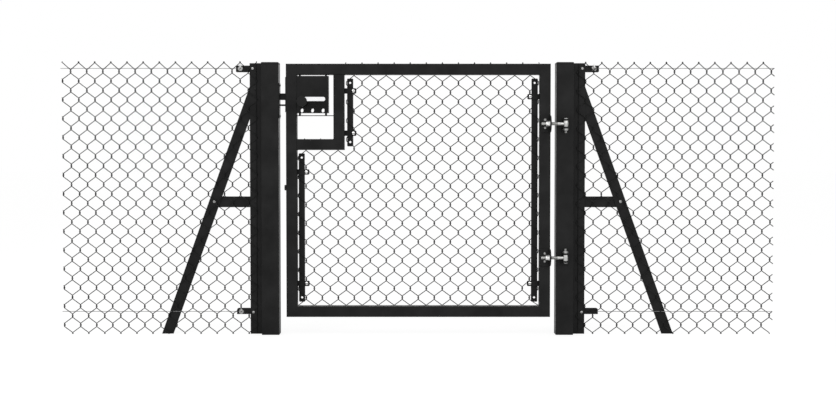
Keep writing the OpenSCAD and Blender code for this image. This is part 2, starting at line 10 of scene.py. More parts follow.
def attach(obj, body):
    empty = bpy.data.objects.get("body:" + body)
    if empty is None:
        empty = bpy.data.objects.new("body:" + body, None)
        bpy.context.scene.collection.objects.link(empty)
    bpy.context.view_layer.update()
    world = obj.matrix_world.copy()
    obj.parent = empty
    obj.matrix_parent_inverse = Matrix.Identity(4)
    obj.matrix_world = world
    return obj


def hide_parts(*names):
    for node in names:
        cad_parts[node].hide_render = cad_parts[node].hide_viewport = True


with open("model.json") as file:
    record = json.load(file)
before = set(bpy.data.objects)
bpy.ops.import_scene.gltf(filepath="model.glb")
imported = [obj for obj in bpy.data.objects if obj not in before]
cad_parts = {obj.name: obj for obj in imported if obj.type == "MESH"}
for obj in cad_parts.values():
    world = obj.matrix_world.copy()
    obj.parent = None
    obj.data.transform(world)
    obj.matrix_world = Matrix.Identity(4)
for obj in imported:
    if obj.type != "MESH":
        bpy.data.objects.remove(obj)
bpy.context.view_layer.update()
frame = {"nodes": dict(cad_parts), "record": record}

MM = 0.001
random.seed(7)

# Lines of the frame that the added pieces line up with, in millimetres
HINGE_AXIS_Y = -54.0
POST_FRONT_Y = -32.0
LEAF_BACK_Y = 8.0
LEAF_MID_Y = -12.0
LOCK_POST_X = -1082.0
POST_HALF = 32.0
LEAF_INNER_X = (-983.0, -93.0)
LEAF_INNER_Z = (106.0, 956.0)
LOCK_BOX_X = (-849.0, -809.0)
LOCK_BOX_RAIL_Z = (680.5, 720.5)
LOWER_HINGE_Z, UPPER_HINGE_Z = 286.0, 776.0

# Height of the fence's tension wires, and the flat sides of its angle bars
LOW_WIRE_Z, HIGH_WIRE_Z = 83.0, 981.0
ANGLE_FRONT_Y, ANGLE_BACK_Y, PLATE_BACK_Y = 0.0, 4.0, 8.0

# The way that a head or a nut faces
FORWARD, BACKWARD = (0, -1, 0), (0, 1, 0)
UPWARD = (0, 0, 1)
TO_LEFT, TO_RIGHT = (-1, 0, 0), (1, 0, 0)

# Edges sharper than this many degrees stay sharp on turned pieces
SHARP_ANGLE = 35


def post_edge(side):
    """The face of the gate post that a fence stub starts from; side is -1 left, 1 right."""
    return POST_HALF if side > 0 else LOCK_POST_X - POST_HALF


# ---------------------------------------------------------------- materials

class Shader:
    """A procedural material, in metres of the object's own space."""

    def __init__(self, name, color, metallic=0.0, roughness=0.5, specular=0.5):
        self.material = bpy.data.materials.new(name)
        self.material.use_nodes = True
        self.material.diffuse_color = (*color, 1.0)
        self.tree = self.material.node_tree
        self.bsdf = self.tree.nodes["Principled BSDF"]
        self.bsdf.inputs["Base Color"].default_value = (*color, 1.0)
        self.bsdf.inputs["Metallic"].default_value = metallic
        self.bsdf.inputs["Roughness"].default_value = roughness
        self.bsdf.inputs["Specular IOR Level"].default_value = specular
        self.place = self.node("ShaderNodeTexCoord").outputs["Object"]

    def node(self, kind, **values):
        made = self.tree.nodes.new(kind)
        for key, value in values.items():
            setattr(made, key, value)
        return made

    def link(self, output, target):
        self.tree.links.new(output, target)

    def stretched(self, scale):
        """The place, scaled along each axis."""
        mapping = self.node("ShaderNodeMapping")
        mapping.inputs["Scale"].default_value = scale
        self.link(self.place, mapping.inputs["Vector"])
        return mapping.outputs["Vector"]

    def noise(self, scale, detail=3.0, rough=0.55, vector=None):
        made = self.node("ShaderNodeTexNoise")
        made.inputs["Scale"].default_value = scale
        made.inputs["Detail"].default_value = detail
        made.inputs["Roughness"].default_value = rough
        self.link(vector or self.place, made.inputs["Vector"])
        return made.outputs["Fac"]

    def spread(self, value, low, high, to_low, to_high):
        """Maps a value from one range to another, clamped."""
        made = self.node("ShaderNodeMapRange")
        made.inputs["From Min"].default_value = low
        made.inputs["From Max"].default_value = high
        made.inputs["To Min"].default_value = to_low
        made.inputs["To Max"].default_value = to_high
        self.link(value, made.inputs["Value"])
        return made.outputs["Result"]

    def math(self, operation, a, b):
        made = self.node("ShaderNodeMath", operation=operation)
        for socket, value in zip(made.inputs, (a, b)):
            if isinstance(value, (int, float)):
                socket.default_value = value
            else:
                self.link(value, socket)
        return made.outputs["Value"]

    def mix(self, factor, a, b):
        made = self.node("ShaderNodeMix", data_type="RGBA")
        self.link(factor, made.inputs[0])
        for socket, value in ((made.inputs[6], a), (made.inputs[7], b)):
            if isinstance(value, tuple):
                socket.default_value = (*value, 1.0)
            else:
                self.link(value, socket)
        return made.outputs[2]

    def color(self, value):
        self.link(value, self.bsdf.inputs["Base Color"])

    def roughness(self, value):
        self.link(value, self.bsdf.inputs["Roughness"])

    def bump(self, *layers):
        """Each layer is (height, strength, distance in metres)."""
        normal = None
        for height, strength, distance in layers:
            made = self.node("ShaderNodeBump")
            made.inputs["Strength"].default_value = strength
            made.inputs["Distance"].default_value = distance
            self.link(height, made.inputs["Height"])
            if normal is not None:
                self.link(normal, made.inputs["Normal"])
            normal = made.outputs["Normal"]
        self.link(normal, self.bsdf.inputs["Normal"])


# Colours of dust and of rubbed spots
COAT_DUST = (0.16, 0.15, 0.135)
PLASTIC_DUST = (0.17, 0.16, 0.145)
RUBBED_WIRE = (0.03, 0.03, 0.03)
RUBBED_STEEL = (0.07, 0.07, 0.066)
FILM_TINT = (0.8, 0.8, 0.78)


def upward(shader):
    """1 on faces that look up, 0 on the others."""
    geometry = shader.node("ShaderNodeNewGeometry")
    split = shader.node("ShaderNodeSeparateXYZ")
    shader.link(geometry.outputs["Normal"], split.inputs["Vector"])
    return shader.spread(split.outputs["Z"], 0.4, 0.95, 0.0, 1.0)


def scaled(color, factor, lift=0.0):
    """A lighter or darker shade of a colour."""
    return tuple(min(1.0, c * factor + lift) for c in color)


def coated_steel(name, color, roughness, grain):
    """Powder coat: fine orange peel, soft mottling, dust on ledges and a few rubbed spots."""
    shader = Shader(name, color, roughness=roughness, specular=0.12)
    mottle = shader.noise(14.0, 4.0)
    fine = shader.noise(900.0, 2.0)
    light = scaled(color, 1.35, 0.002)
    dark = scaled(color, 0.8)
    coat = shader.mix(shader.spread(mottle, 0.3, 0.7, 0.0, 1.0), dark, light)
    patches = shader.spread(shader.noise(60.0, 5.0), 0.45, 0.75, 0.02, 0.16)
    dust = shader.math("MULTIPLY", upward(shader), patches)
    coat = shader.mix(dust, coat, COAT_DUST)
    scratch = shader.noise(42.0, 6.0, 0.7, shader.stretched((1.0, 1.0, 9.0)))
    rubbed = shader.spread(scratch, 0.70, 0.80, 0.0, 0.35)
    coat = shader.mix(rubbed, coat, scaled(color, 2.2))
    shader.color(coat)
    worn = shader.math("ADD", shader.spread(mottle, 0.3, 0.7, roughness - 0.05, roughness + 0.07),
                       shader.spread(fine, 0.3, 0.7, -0.02, 0.03))
    shader.roughness(shader.math("SUBTRACT", worn, shader.math("MULTIPLY", rubbed, 0.3)))
    shader.bump((shader.noise(grain, 2.0, 0.5), 0.28, 0.12 * MM),
                (shader.noise(3200.0, 1.0), 0.15, 0.04 * MM))
    return shader.material


def wire_coat(name, color):
    """Plastic coat drawn over wire, with fine ridges and small rubbed marks."""
    shader = Shader(name, color, roughness=0.4, specular=0.14)
    patches = shader.noise(30.0, 4.0)
    tone = shader.mix(shader.spread(patches, 0.35, 0.7, 0.0, 1.0),
                      scaled(color, 0.8), scaled(color, 1.5))
    rub = shader.spread(shader.noise(420.0, 3.0), 0.66, 0.8, 0.0, 0.5)
    shader.color(shader.mix(rub, tone, RUBBED_WIRE))
    shader.roughness(shader.spread(patches, 0.3, 0.7, 0.34, 0.48))
    shader.bump((shader.noise(1600.0, 2.0), 0.2, 0.05 * MM))
    return shader.material


def plated_steel(name, color, roughness, grain=1500.0):
    """Zinc plating: cool spangle, light streaks and dull film in places."""
    shader = Shader(name, color, metallic=1.0, roughness=roughness)
    cloud = shader.noise(160.0, 4.0)
    film = shader.spread(shader.noise(50.0, 5.0), 0.45, 0.75, 0.0, 0.5)
    tone = shader.mix(shader.spread(cloud, 0.3, 0.7, 0.0, 1.0), scaled(color, 0.86), color)
    shader.color(shader.mix(film, tone, tuple(c * f for c, f in zip(color, FILM_TINT))))
    polish = shader.spread(cloud, 0.3, 0.7, roughness - 0.06, roughness + 0.08)
    shader.roughness(shader.math("ADD", polish, shader.math("MULTIPLY", film, 0.18)))
    shader.bump((shader.noise(grain, 3.0), 0.2, 0.05 * MM))
    return shader.material


def dark_metal(name, color):
    """Blackened steel, rubbed bright where it slides."""
    shader = Shader(name, color, metallic=1.0, roughness=0.4)
    slide = shader.noise(90.0, 5.0, 0.65, shader.stretched((0.2, 3.0, 3.0)))
    rub = shader.spread(slide, 0.56, 0.76, 0.0, 0.5)
    shader.color(shader.mix(rub, color, RUBBED_STEEL))
    shader.roughness(shader.spread(slide, 0.3, 0.7, 0.48, 0.3))
    drawn = shader.noise(1400.0, 2.0, 0.5, shader.stretched((0.15, 1.0, 1.0)))
    shader.bump((drawn, 0.2, 0.04 * MM))
    return shader.material


def satin_alloy(name, color):
    """Satin aluminium, brushed along X."""
    shader = Shader(name, color, metallic=0.55, roughness=0.34)
    lines = shader.noise(1100.0, 3.0, 0.6, shader.stretched((0.03, 1.0, 1.0)))
    cloud = shader.noise(40.0, 3.0)
    tone = shader.mix(shader.spread(lines, 0.3, 0.7, 0.0, 1.0), scaled(color, 0.93), color)
    handled = shader.spread(cloud, 0.45, 0.75, 0.0, 0.35)
    shader.color(shader.mix(handled, tone, scaled(color, 0.9)))
    polish = shader.spread(lines, 0.3, 0.7, 0.28, 0.4)
    shader.roughness(shader.math("ADD", polish, shader.math("MULTIPLY", handled, 0.2)))
    shader.bump((lines, 0.12, 0.04 * MM))
    return shader.material


def moulded(name, color, roughness, grain):
    """Moulded plastic or rubber: spark-eroded grain, soft bloom and dust on top."""
    shader = Shader(name, color, roughness=roughness, specular=0.13)
    bloom = shader.spread(shader.noise(24.0, 4.0), 0.4, 0.75, 0.0, 0.5)
    tone = shader.mix(bloom, color, scaled(color, 1.5, 0.001))
    patches = shader.spread(shader.noise(80.0, 5.0), 0.4, 0.8, 0.01, 0.1)
    dust = shader.math("MULTIPLY", upward(shader), patches)
    shader.color(shader.mix(dust, tone, PLASTIC_DUST))
    cloud = shader.noise(300.0, 3.0)
    shader.roughness(shader.spread(cloud, 0.3, 0.7, roughness - 0.05, roughness + 0.08))
    shader.bump((shader.noise(grain, 2.0), 0.35, 0.1 * MM))
    return shader.material


COAT = coated_steel("powder_coat_black", (0.008, 0.008, 0.008), 0.36, 520.0)
WIRE = wire_coat("wire_coat_black", (0.007, 0.007, 0.007))
CAP = moulded("cap_plastic_black", (0.007, 0.007, 0.007), 0.5, 700.0)
RUBBER = moulded("buffer_rubber", (0.014, 0.014, 0.014), 0.68, 900.0)
ZINC = plated_steel("zinc_plating", (0.56, 0.56, 0.55), 0.32)
BRIGHT_ZINC = plated_steel("bright_zinc_plating", (0.86, 0.86, 0.85), 0.24)
DULL_ZINC = plated_steel("dull_zinc_plating", (0.38, 0.38, 0.375), 0.4)
GALV = plated_steel("galvanised_wire", (0.26, 0.26, 0.26), 0.38, 900.0)
BOLT_STEEL = dark_metal("latch_steel", (0.014, 0.014, 0.014))
ALLOY = satin_alloy("lever_aluminium", (0.86, 0.86, 0.87))

SLOT_LOOKS = {
    "black_coated_steel": COAT,
    "black_plastic": CAP,
    "black_rubber": RUBBER,
    "coated_wire": WIRE,
    "galvanised_wire": GALV,
    "zinc_plated_steel": ZINC,
    "dark_steel": BOLT_STEEL,
    "satin_aluminium": ALLOY,
}

for entry in frame["record"]["subparts"]:
    shown = frame["nodes"][entry["node"]]
    look = SLOT_LOOKS[entry["material_slot"]]
    shown.data.materials.clear()
    shown.data.materials.append(look)


# ---------------------------------------------------------------- mesh building

def bands(rings, count, closed=False):
    """Faces between rings of count points; if closed, the last ring joins the first one."""
    faces = []
    for i in range(rings if closed else rings - 1):
        j = (i + 1) % rings
        for k in range(count):
            n = (k + 1) % count
            faces.append((i * count + k, i * count + n, j * count + n, j * count + k))
    return faces


def ends(rings, count):
    """One face over the first ring and one over the last."""
    return [tuple(reversed(range(count))), tuple((rings - 1) * count + k for k in range(count))]


def turned(profile, sides):
    """The rings of points that (radius, height) pairs describe about local Z."""
    verts = []
    for r, h in profile:
        for k in range(sides):
            a = 2 * math.pi * (k + 0.5) / sides
            verts.append((r * math.cos(a), r * math.sin(a), h))
    return verts


def clean(mesh, merge_dist=None):
    """Turns all faces outward, and joins points that lie closer than merge_dist."""
    work = bmesh.new()
    work.from_mesh(mesh)
    if merge_dist:
        bmesh.ops.remove_doubles(work, verts=work.verts, dist=merge_dist)
    bmesh.ops.recalc_face_normals(work, faces=work.faces)
    work.to_mesh(mesh)
    work.free()


class Build:
    """Collects solids in millimetres and turns them into one piece."""

    def __init__(self):
        self.verts = []
        self.faces = []
        self.smooth = []

    def add(self, verts, faces, smooth=False, matrix=None):
        start = len(self.verts)
        for v in verts:
            v = Vector(v)
            self.verts.append(tuple(matrix @ v if matrix else v))
        self.faces.extend(tuple(start + i for i in f) for f in faces)
        self.smooth.extend([smooth] * len(faces))

    def tube(self, points, radius, sides=8, radii=None):
        """A round bar along points; the rings turn with the path without twisting."""
        points = [Vector(p) for p in points]
        verts = []
        normal = None
        count = len(points)
        for i, p in enumerate(points):
            ahead = points[min(i + 1, count - 1)] - points[max(i - 1, 0)]
            ahead.normalize()
            if normal is None:
                seed = Vector((0, 1, 0)) if abs(ahead.y) < 0.8 else Vector((1, 0, 0))
                normal = (seed - ahead * seed.dot(ahead)).normalized()
            else:
                normal = (normal - ahead * normal.dot(ahead)).normalized()
            side = ahead.cross(normal)
            r = radii[i] if radii else radius
            for k in range(sides):
                a = 2 * math.pi * k / sides
                verts.append(p + (normal * math.cos(a) + side * math.sin(a)) * r)
        self.add(verts, bands(count, sides) + ends(count, sides), True)

    def lathe(self, profile, matrix, sides=24, smooth=True):
        """Turns (radius, height) pairs about local Z; the ends are closed."""
        faces = bands(len(profile), sides) + ends(len(profile), sides)
        self.add(turned(profile, sides), faces, smooth, matrix)

    def ring(self, profile, matrix, sides=24):
        """Turns a closed loop of (radius, height) pairs about local Z."""
        self.add(turned(profile, sides), bands(len(profile), sides, True), True, matrix)

    def prism(self, outline, height, matrix):
        """An outline in local X-Y, raised along local Z."""
        count = len(outline)
        verts = [(*p, z) for z in (0.0, height) for p in outline]
        self.add(verts, bands(2, count) + ends(2, count), False, matrix)

    def piece(self, name, look, body, slot, auto=None):
        """One mesh object on its body; edges sharper than auto degrees are drawn sharp."""
        mesh = bpy.data.meshes.new(name)
        mesh.from_pydata([(x * MM, y * MM, z * MM) for x, y, z in self.verts], [], self.faces)
        mesh.polygons.foreach_set("use_smooth", self.smooth)
        mesh.materials.append(look)
        mesh.validate()
        clean(mesh)
        if auto:
            mesh.set_sharp_from_angle(angle=math.radians(auto))
        made = bpy.data.objects.new(name, mesh)
        bpy.context.scene.collection.objects.link(made)
        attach(made, body)
        return made


def facing(origin, toward):
    """Local Z along toward, at origin, in millimetres."""
    z = Vector(toward).normalized()
    x = Vector((0, 0, 1)) if abs(z.z) < 0.9 else Vector((1, 0, 0))
    x = (x - z * x.dot(z)).normalized()
    y = z.cross(x)
    turn = Matrix((x, y, z)).transposed().to_4x4()
    return Matrix.Translation(Vector(origin)) @ turn


# ---------------------------------------------------------------- woven fabric

WIRE_R = 1.55
# Height of a bend, and how far its ends lie before and behind the fabric's middle
KNUCKLE_H = 13.6
FABRIC_HALF = 2.5
# (out in wire widths, forward as a share of FABRIC_HALF, up as a share of half a bend)
KNUCKLE_STEPS = ((-0.55, 1.0, 1.12), (0.15, 0.86, 0.72), (0.48, 0.46, 0.34), (0.56, 0.0, 0.0),
                 (0.48, -0.46, -0.34), (0.15, -0.86, -0.72), (-0.55, -1.0, -1.12))
# Where the fence is cut on the left and on the right
FABRIC_X = (-1848.6, 772.3)

# The leaf's fabric, 30 wires of 27 bends; the first 6 start under the lock box
LEAF_WIRES, SHORT_WIRES = 30, 6
FIRST_LOW_ROW, LAST_LEAF_ROW = 9, 26
LEAF_TOP_Z = 996.2
LEAF_PITCH = 34.53
LEAF_HALF_W = (LEAF_INNER_X[1] - LEAF_INNER_X[0]) / LEAF_WIRES
# The free top ends: (rise, lean) under the lock box's rail, and the rise at the top rail
SHORT_TOP, SHORT_LEAN = 38.0, -5.0
LONG_TOP = 7.6

# The fence's fabric, 24 wires of 30 bends on each side
FENCE_WIRES, LAST_FENCE_ROW = 24, 29
FENCE_HALF_W = 29.7
FENCE_MID_Y = -3.75
# (side, name, phase, start beyond the post's face, top bend, pitch, rise of the top ends)
FENCES = ((-1, "left", 0, 20.2, 1004.5, 34.66, 0.9), (1, "right", 1, 16.2, 1001.2, 34.58, 3.0))

# The tension bars as (left, right, foot, top), and their front, back, hole and corner
LOCK_SIDE_BAR = (-979.6, -957.2, 118.7, 668.5)
HINGE_SIDE_BAR = (-120.5, -97.2, 118.7, 943.8)
LOCK_BOX_BAR = (-800.5, -777.9, 693.8, 943.8)
BAR_FRONT_Y, BAR_BACK_Y = 3.5, 8.0
BAR_HOLE_IN, BAR_HOLE_R, BAR_CORNER = 16.0, 3.9, 3.0
# How far up and down the piece of bar goes that has the hole in it
BAR_END_L = 30.0
# How far the wire that wraps a bar goes past its edges and before its front
WRAP_PAST_FRONT = 1.6


def knuckle(x, z, turn, mid_y):
    """One bend of a wire round its neighbour, from its upper end to its lower end."""
    front = mid_y - FABRIC_HALF * turn
    back = mid_y + FABRIC_HALF * turn
    half = KNUCKLE_H / 2
    points = []
    for out, depth, high in KNUCKLE_STEPS:
        y = mid_y + (front - mid_y) * depth if depth >= 0 else mid_y + (back - mid_y) * -depth
        points.append((x + turn * out * 2 * WIRE_R, y, z + high * half))
    return points


class Wrap:
    """A flat bar in the fabric's edge.

    The last wire runs behind it, round its edge and back across its front. side is the side
    of the bar that the wire goes round, near_x that edge's bend and far_x the other edge."""

    def __init__(self, side, near_x, far_x, bar):
        self.side = side
        self.near_x = near_x
        self.far_x = far_x
        self.low_z, self.high_z = bar[2:]
        self.front_y = BAR_FRONT_Y - WRAP_PAST_FRONT

    def holds(self, turn, z):
        return turn == self.side and self.low_z < z < self.high_z

    def bend(self, z, behind_y, half, pitch):
        """The bend round the bar's edge, and the place where the wire leaves the bar's front."""
        x, out, half_z = self.near_x, self.side, KNUCKLE_H / 2
        middle = (behind_y + self.front_y) / 2
        share = abs(self.far_x - x) / half
        points = [(x - out * 1.7, behind_y, z + half_z * 1.12),
                  (x, behind_y - 2.2, z + half_z * 0.85),
                  (x + out * 0.3, middle, z + half_z * 0.4),
                  (x + out * 0.3, middle, z - half_z * 0.4),
                  (x, self.front_y + 2.2, z - half_z * 0.85),
                  (x - out * 1.7, self.front_y, z - half_z * 1.12),
                  (self.far_x, self.front_y, z - half_z - share * (pitch - KNUCKLE_H))]
        if self.side > 0:
            points = [(px, py, 2 * z - pz) for px, py, pz in reversed(points)]
        return points


class Weave:
    """The lattice of one fabric, from the place of its bends to its wires."""

    def __init__(self, left_x, half, top_z, pitch, mid_y, sign=1, phase=0):
        self.left_x, self.half = left_x, half
        self.top_z, self.pitch = top_z, pitch
        self.mid_y = mid_y
        self.sign, self.phase = sign, phase

    def turn(self, wire, row):
        """-1 where a wire bends towards the wire before it, 1 where it bends away."""
        return -1 if (wire + self.phase + row) % 2 == 0 else 1

    def wire(self, build, wire, first, last, top_end, low_end, wrap=None,
             top_squeeze=1.0, top_lean=0.0, drawn=None):
        """One flattened spiral of fabric, hooked into its neighbours at every bend.

        top_end is the rise above the first bend, low_end the drop below the last one, and
        drawn is the place of a column of bends and how far a tension bar draws it aside."""
        points = []
        for row in range(first, last + 1):
            turn = self.turn(wire, row)
            x = self.left_x + self.sign * (wire + 0.5 + turn / 2) * self.half
            z = self.top_z - row * self.pitch
            if drawn and abs(x - drawn[0]) < 1.0:
                x += drawn[1]
            if wrap and wrap.holds(turn, z):
                points.extend(wrap.bend(z, self.mid_y + FABRIC_HALF, self.half, self.pitch))
                continue
            made = knuckle(x, z, self.sign * turn, self.mid_y)
            upper_y, middle_y, lower_y = made[0][1], made[3][1], made[6][1]
            if row == first:
                end = (x + top_lean, middle_y + (upper_y - middle_y) * 0.5, z + top_end)
                made = [end] + [(px, py, z + (pz - z) * top_squeeze) for px, py, pz in made[3:]]
            if row == last:
                end = (x, middle_y + (lower_y - middle_y) * 0.5, z - low_end)
                made = made[:4] + [end]
            points.extend(made)
        low_x, high_x = FABRIC_X
        points = [(min(max(px, low_x), high_x), py, max(pz, WIRE_R)) for px, py, pz in points]
        build.tube(points, WIRE_R)

    def cut_hooks(self, build, wire, last):
        """What is left of the next wire where a stub is cut: a hook in each outer bend."""
        x = self.left_x + self.sign * wire * self.half
        cut_x = FABRIC_X[0] if self.sign < 0 else FABRIC_X[1]
        drop = (self.pitch - KNUCKLE_H) * abs(cut_x - x) / self.half
        for row in range(1, last):
            if self.turn(wire, row) < 0:
                z = self.top_z - row * self.pitch
                made = knuckle(x, z, -self.sign, self.mid_y)
                upper = (cut_x, made[0][1], z + KNUCKLE_H / 2 + drop)
                lower = (cut_x, made[6][1], z - KNUCKLE_H / 2 - drop)
                build.tube([upper] + made + [lower], WIRE_R)


def fabric_pieces():
    """The leaf's fabric, wrapped round its three tension bars, and the fence's on each side."""
    wraps = {0: Wrap(-1, -981.3, -954.6, LOCK_SIDE_BAR),
             SHORT_WIRES: Wrap(-1, -803.0, -776.2, LOCK_BOX_BAR),
             LEAF_WIRES - 1: Wrap(1, -95.1, -123.0, HINGE_SIDE_BAR)}
    # The last column of bends, beside the hinge side bar
    edge_column = (-122.7, -3.4)
    weave = Weave(LEAF_INNER_X[0], LEAF_HALF_W, LEAF_TOP_Z, LEAF_PITCH, LEAF_BACK_Y + 3.75)
    leaf = Build()
    for wire in range(LEAF_WIRES):
        if wire < SHORT_WIRES:
            weave.wire(leaf, wire, FIRST_LOW_ROW, LAST_LEAF_ROW, SHORT_TOP, KNUCKLE_H / 2,
                       wrap=wraps.get(wire), top_lean=SHORT_LEAN)
        else:
            weave.wire(leaf, wire, 0, LAST_LEAF_ROW, LONG_TOP, KNUCKLE_H / 2,
                       wrap=wraps.get(wire), drawn=edge_column)
    made = leaf.piece("leaf_fabric", WIRE, "leaf", "coated_wire")
    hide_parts("leaf_mesh_upper", "leaf_mesh_lower")
    for side, word, phase, start_in, top_z, pitch, top_end in FENCES:
        start = post_edge(side) + side * start_in
        weave = Weave(start, FENCE_HALF_W, top_z, pitch, FENCE_MID_Y, side, phase)
        stub = Build()
        for wire in range(FENCE_WIRES):
            weave.wire(stub, wire, 0, LAST_FENCE_ROW, top_end, 0.0, top_squeeze=0.5)
        weave.cut_hooks(stub, FENCE_WIRES, LAST_FENCE_ROW)
        made = stub.piece("fence_fabric_" + word, WIRE, "root", "coated_wire")
        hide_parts("fence_mesh_" + word)


fabric_pieces()


# ---------------------------------------------------------------- fasteners

def hexagon(across_flats, turn=0.0):
    r = across_flats / math.sqrt(3)
    angles = [math.radians(60 * k + turn) for k in range(6)]
    return [(r * math.cos(a), r * math.sin(a)) for a in angles]


def washer(build, at, toward, outer, thick):
    edge = 0.3
    build.lathe([(outer - edge, 0), (outer, edge), (outer, thick - edge), (outer - edge, thick)],
                facing(at, toward), 28)


def hex_head(build, at, toward, flats, height, turn=0.0):
    """A hexagon with its top corners turned off."""
    place = facing(at, toward)
    corner = flats / math.sqrt(3)
    shoulder = height * 0.84
    build.prism(hexagon(flats, turn), shoulder, place)
    build.lathe([(corner * 0.93, 0), (corner * 0.9, shoulder), (flats * 0.45, height)], place)


def threaded_end(build, at, toward, radius, length, pitch):
    """A short run of thread with a chamfered end."""
    core, chamfer = radius * 0.87, 0.6
    profile = [(radius * 0.88, 0)]
    z = 0.0
    while z + pitch < length - pitch * 0.6:
        profile += [(core, z + pitch * 0.1), (radius, z + pitch * 0.45), (radius, z + pitch * 0.6)]
        z += pitch
    profile += [(core, z + pitch * 0.1), (core, length - chamfer), (radius * 0.7, length)]
    build.lathe(profile, facing(at, toward), 20, smooth=False)


def dome_profile(radius, height):
    """A short upright rim and a quarter round, as (radius, height) pairs."""
    steps, rim = 6, 0.15
    profile = [(radius * 0.98, 0), (radius, height * rim)]
    for k in range(1, steps):
        a = math.radians(90 * k / steps)
        profile.append((radius * math.cos(a), height * (rim + (1 - rim) * math.sin(a))))
    return profile


def dome_head(build, at, toward, radius, height):
    build.lathe(dome_profile(radius, height) + [(radius * 0.08, height)], facing(at, toward), 28)


def slotted_head(build, at, toward, radius, height, gap, turn=0.0):
    """A domed head whose upper part is two halves on both sides of a driver slot."""
    place = facing(at, toward) @ Matrix.Rotation(math.radians(turn), 4, "Z")
    profile = dome_profile(radius, height)
    floor_step = 3
    build.lathe(profile[:floor_step + 1], place, 28)
    arc = 14
    upper = profile[floor_step:]
    for side in (1, -1):
        verts = []
        for r, h in upper:
            for k in range(arc + 1):
                a = math.pi * k / arc
                verts.append((r * math.cos(a), side * max(r * math.sin(a), gap / 2), h))
        faces = bands(len(upper), arc + 1) + ends(len(upper), arc + 1)
        build.add(verts, faces, False, place)


def slot_painted_shade(build, at, toward, length, gap, height, turn=0.0):
    """Painted shade: a thin dark block on the floor of a driver slot, standing in for the shade inside
    it.
    """
    half, side = length / 2, gap / 2 - 0.1
    outline = [(-half, -side), (half, -side), (half, side), (-half, side)]
    build.prism(outline, height, facing(at, toward) @ Matrix.Rotation(math.radians(turn), 4, "Z"))


def through_bolt(build, x, front_y, back_y, z, radius, turn=0.0):
    """A slotted dome head in front of a joint, and a washer, nut and thread end behind it."""
    washer_t, nut_h = 1.4, radius * 0.85
    slotted_head(build, (x, front_y, z), FORWARD, radius, radius * 0.62, radius * 0.26, turn)
    washer(build, (x, back_y, z), BACKWARD, radius * 1.15, washer_t)
    hex_head(build, (x, back_y + washer_t, z), BACKWARD, radius * 1.85, nut_h, 10.0)
    threaded_end(build, (x, back_y + washer_t + nut_h, z), BACKWARD, radius * 0.56, 3.6, 1.25)


# Where a bolt holds a clamp to a tension bar, as (x, z)
CLAMP_BOLTS = ((-951.3, 187), (-951.3, 599.5), (-777.4, 742.5), (-777.4, 898),
               (-124.8, 187), (-124.8, 877))


def clamp_bolts():
    """A slotted head before each clamp, and its shank, washer, nut and thread end behind, with a dark
    block of painted shade in each slot.
    """
    build, painted_shade = Build(), Build()
    slot_w, slot_turn, shank_r = 2.4, 90.0, 3.4
    for x, z in CLAMP_BOLTS:
        slotted_head(build, (x, -0.5, z), FORWARD, 6.9, 4.6, slot_w, slot_turn)
        # a dark block in each slot paints the shade inside it
        slot_painted_shade(painted_shade, (x, -3.2, z), FORWARD, 11.6, slot_w, 0.5, slot_turn)
        washer(build, (x, 15.6, z), BACKWARD, 8.0, 1.2)
        hex_head(build, (x, 16.8, z), BACKWARD, 11.0, 5.2, 10.0)
        threaded_end(build, (x, 22.0, z), BACKWARD, shank_r, 3.0, 1.25)
        build.lathe([(shank_r, 0), (shank_r, 12.0)], facing((x, 3.6, z), BACKWARD), 16)
    build.piece("clamp_bolts", BRIGHT_ZINC, "leaf", "zinc_plated_steel", SHARP_ANGLE)
    painted_shade.piece("clamp_bolt_slot_shade", RUBBER, "leaf", "dark_steel")


def fence_bolts(side, word):
    """Bolts of the tensioner brackets and of the level tie, beside one gate post."""
    edge = post_edge(side)
    bright = Build()
    for z in (980.5, 80.5):
        through_bolt(bright, edge + side * 34.2, ANGLE_FRONT_Y, PLATE_BACK_Y, z, 5.4, 40.0 * side)
    through_bolt(bright, edge + side * 177.5, ANGLE_BACK_Y, 12.0, 490.0, 6.0, 25.0)
    bright.piece("fence_bolts_" + word, DULL_ZINC, "root", "zinc_plated_steel", SHARP_ANGLE)
    black = Build()
    x = edge + side * 25.0
    washer_t, nut_h = 1.4, 5.0
    for z, back_y in ((487.5, 12.0), (905.0, PLATE_BACK_Y)):
        dome_head(black, (x, ANGLE_FRONT_Y, z), FORWARD, 5.6, 1.8)
        washer(black, (x, back_y, z), BACKWARD, 6.4, washer_t)
        hex_head(black, (x, back_y + washer_t, z), BACKWARD, 10.0, nut_h, 10.0)
        threaded_end(black, (x, back_y + washer_t + nut_h, z), BACKWARD, 3.0, 3.2, 1.0)
    black.piece("fence_coach_bolts_" + word, COAT, "root", "black_coated_steel", SHARP_ANGLE)


# Outline of a tensioner's drum, as (radius, height) pairs with a hollow in the end
DRUM = ((8.9, 0), (9.3, 0.3), (9.3, 1.5), (8.9, 1.9), (8.0, 1.9), (8.0, 3.7), (7.5, 4.1),
        (4.9, 4.1), (4.5, 3.0))
CATCH_PIN = ((1.3, 0), (1.9, 0.6), (1.9, 13.4), (1.3, 14.0))
# The drums sit this far below the tension wires' line
DRUM_DROP = 0.8


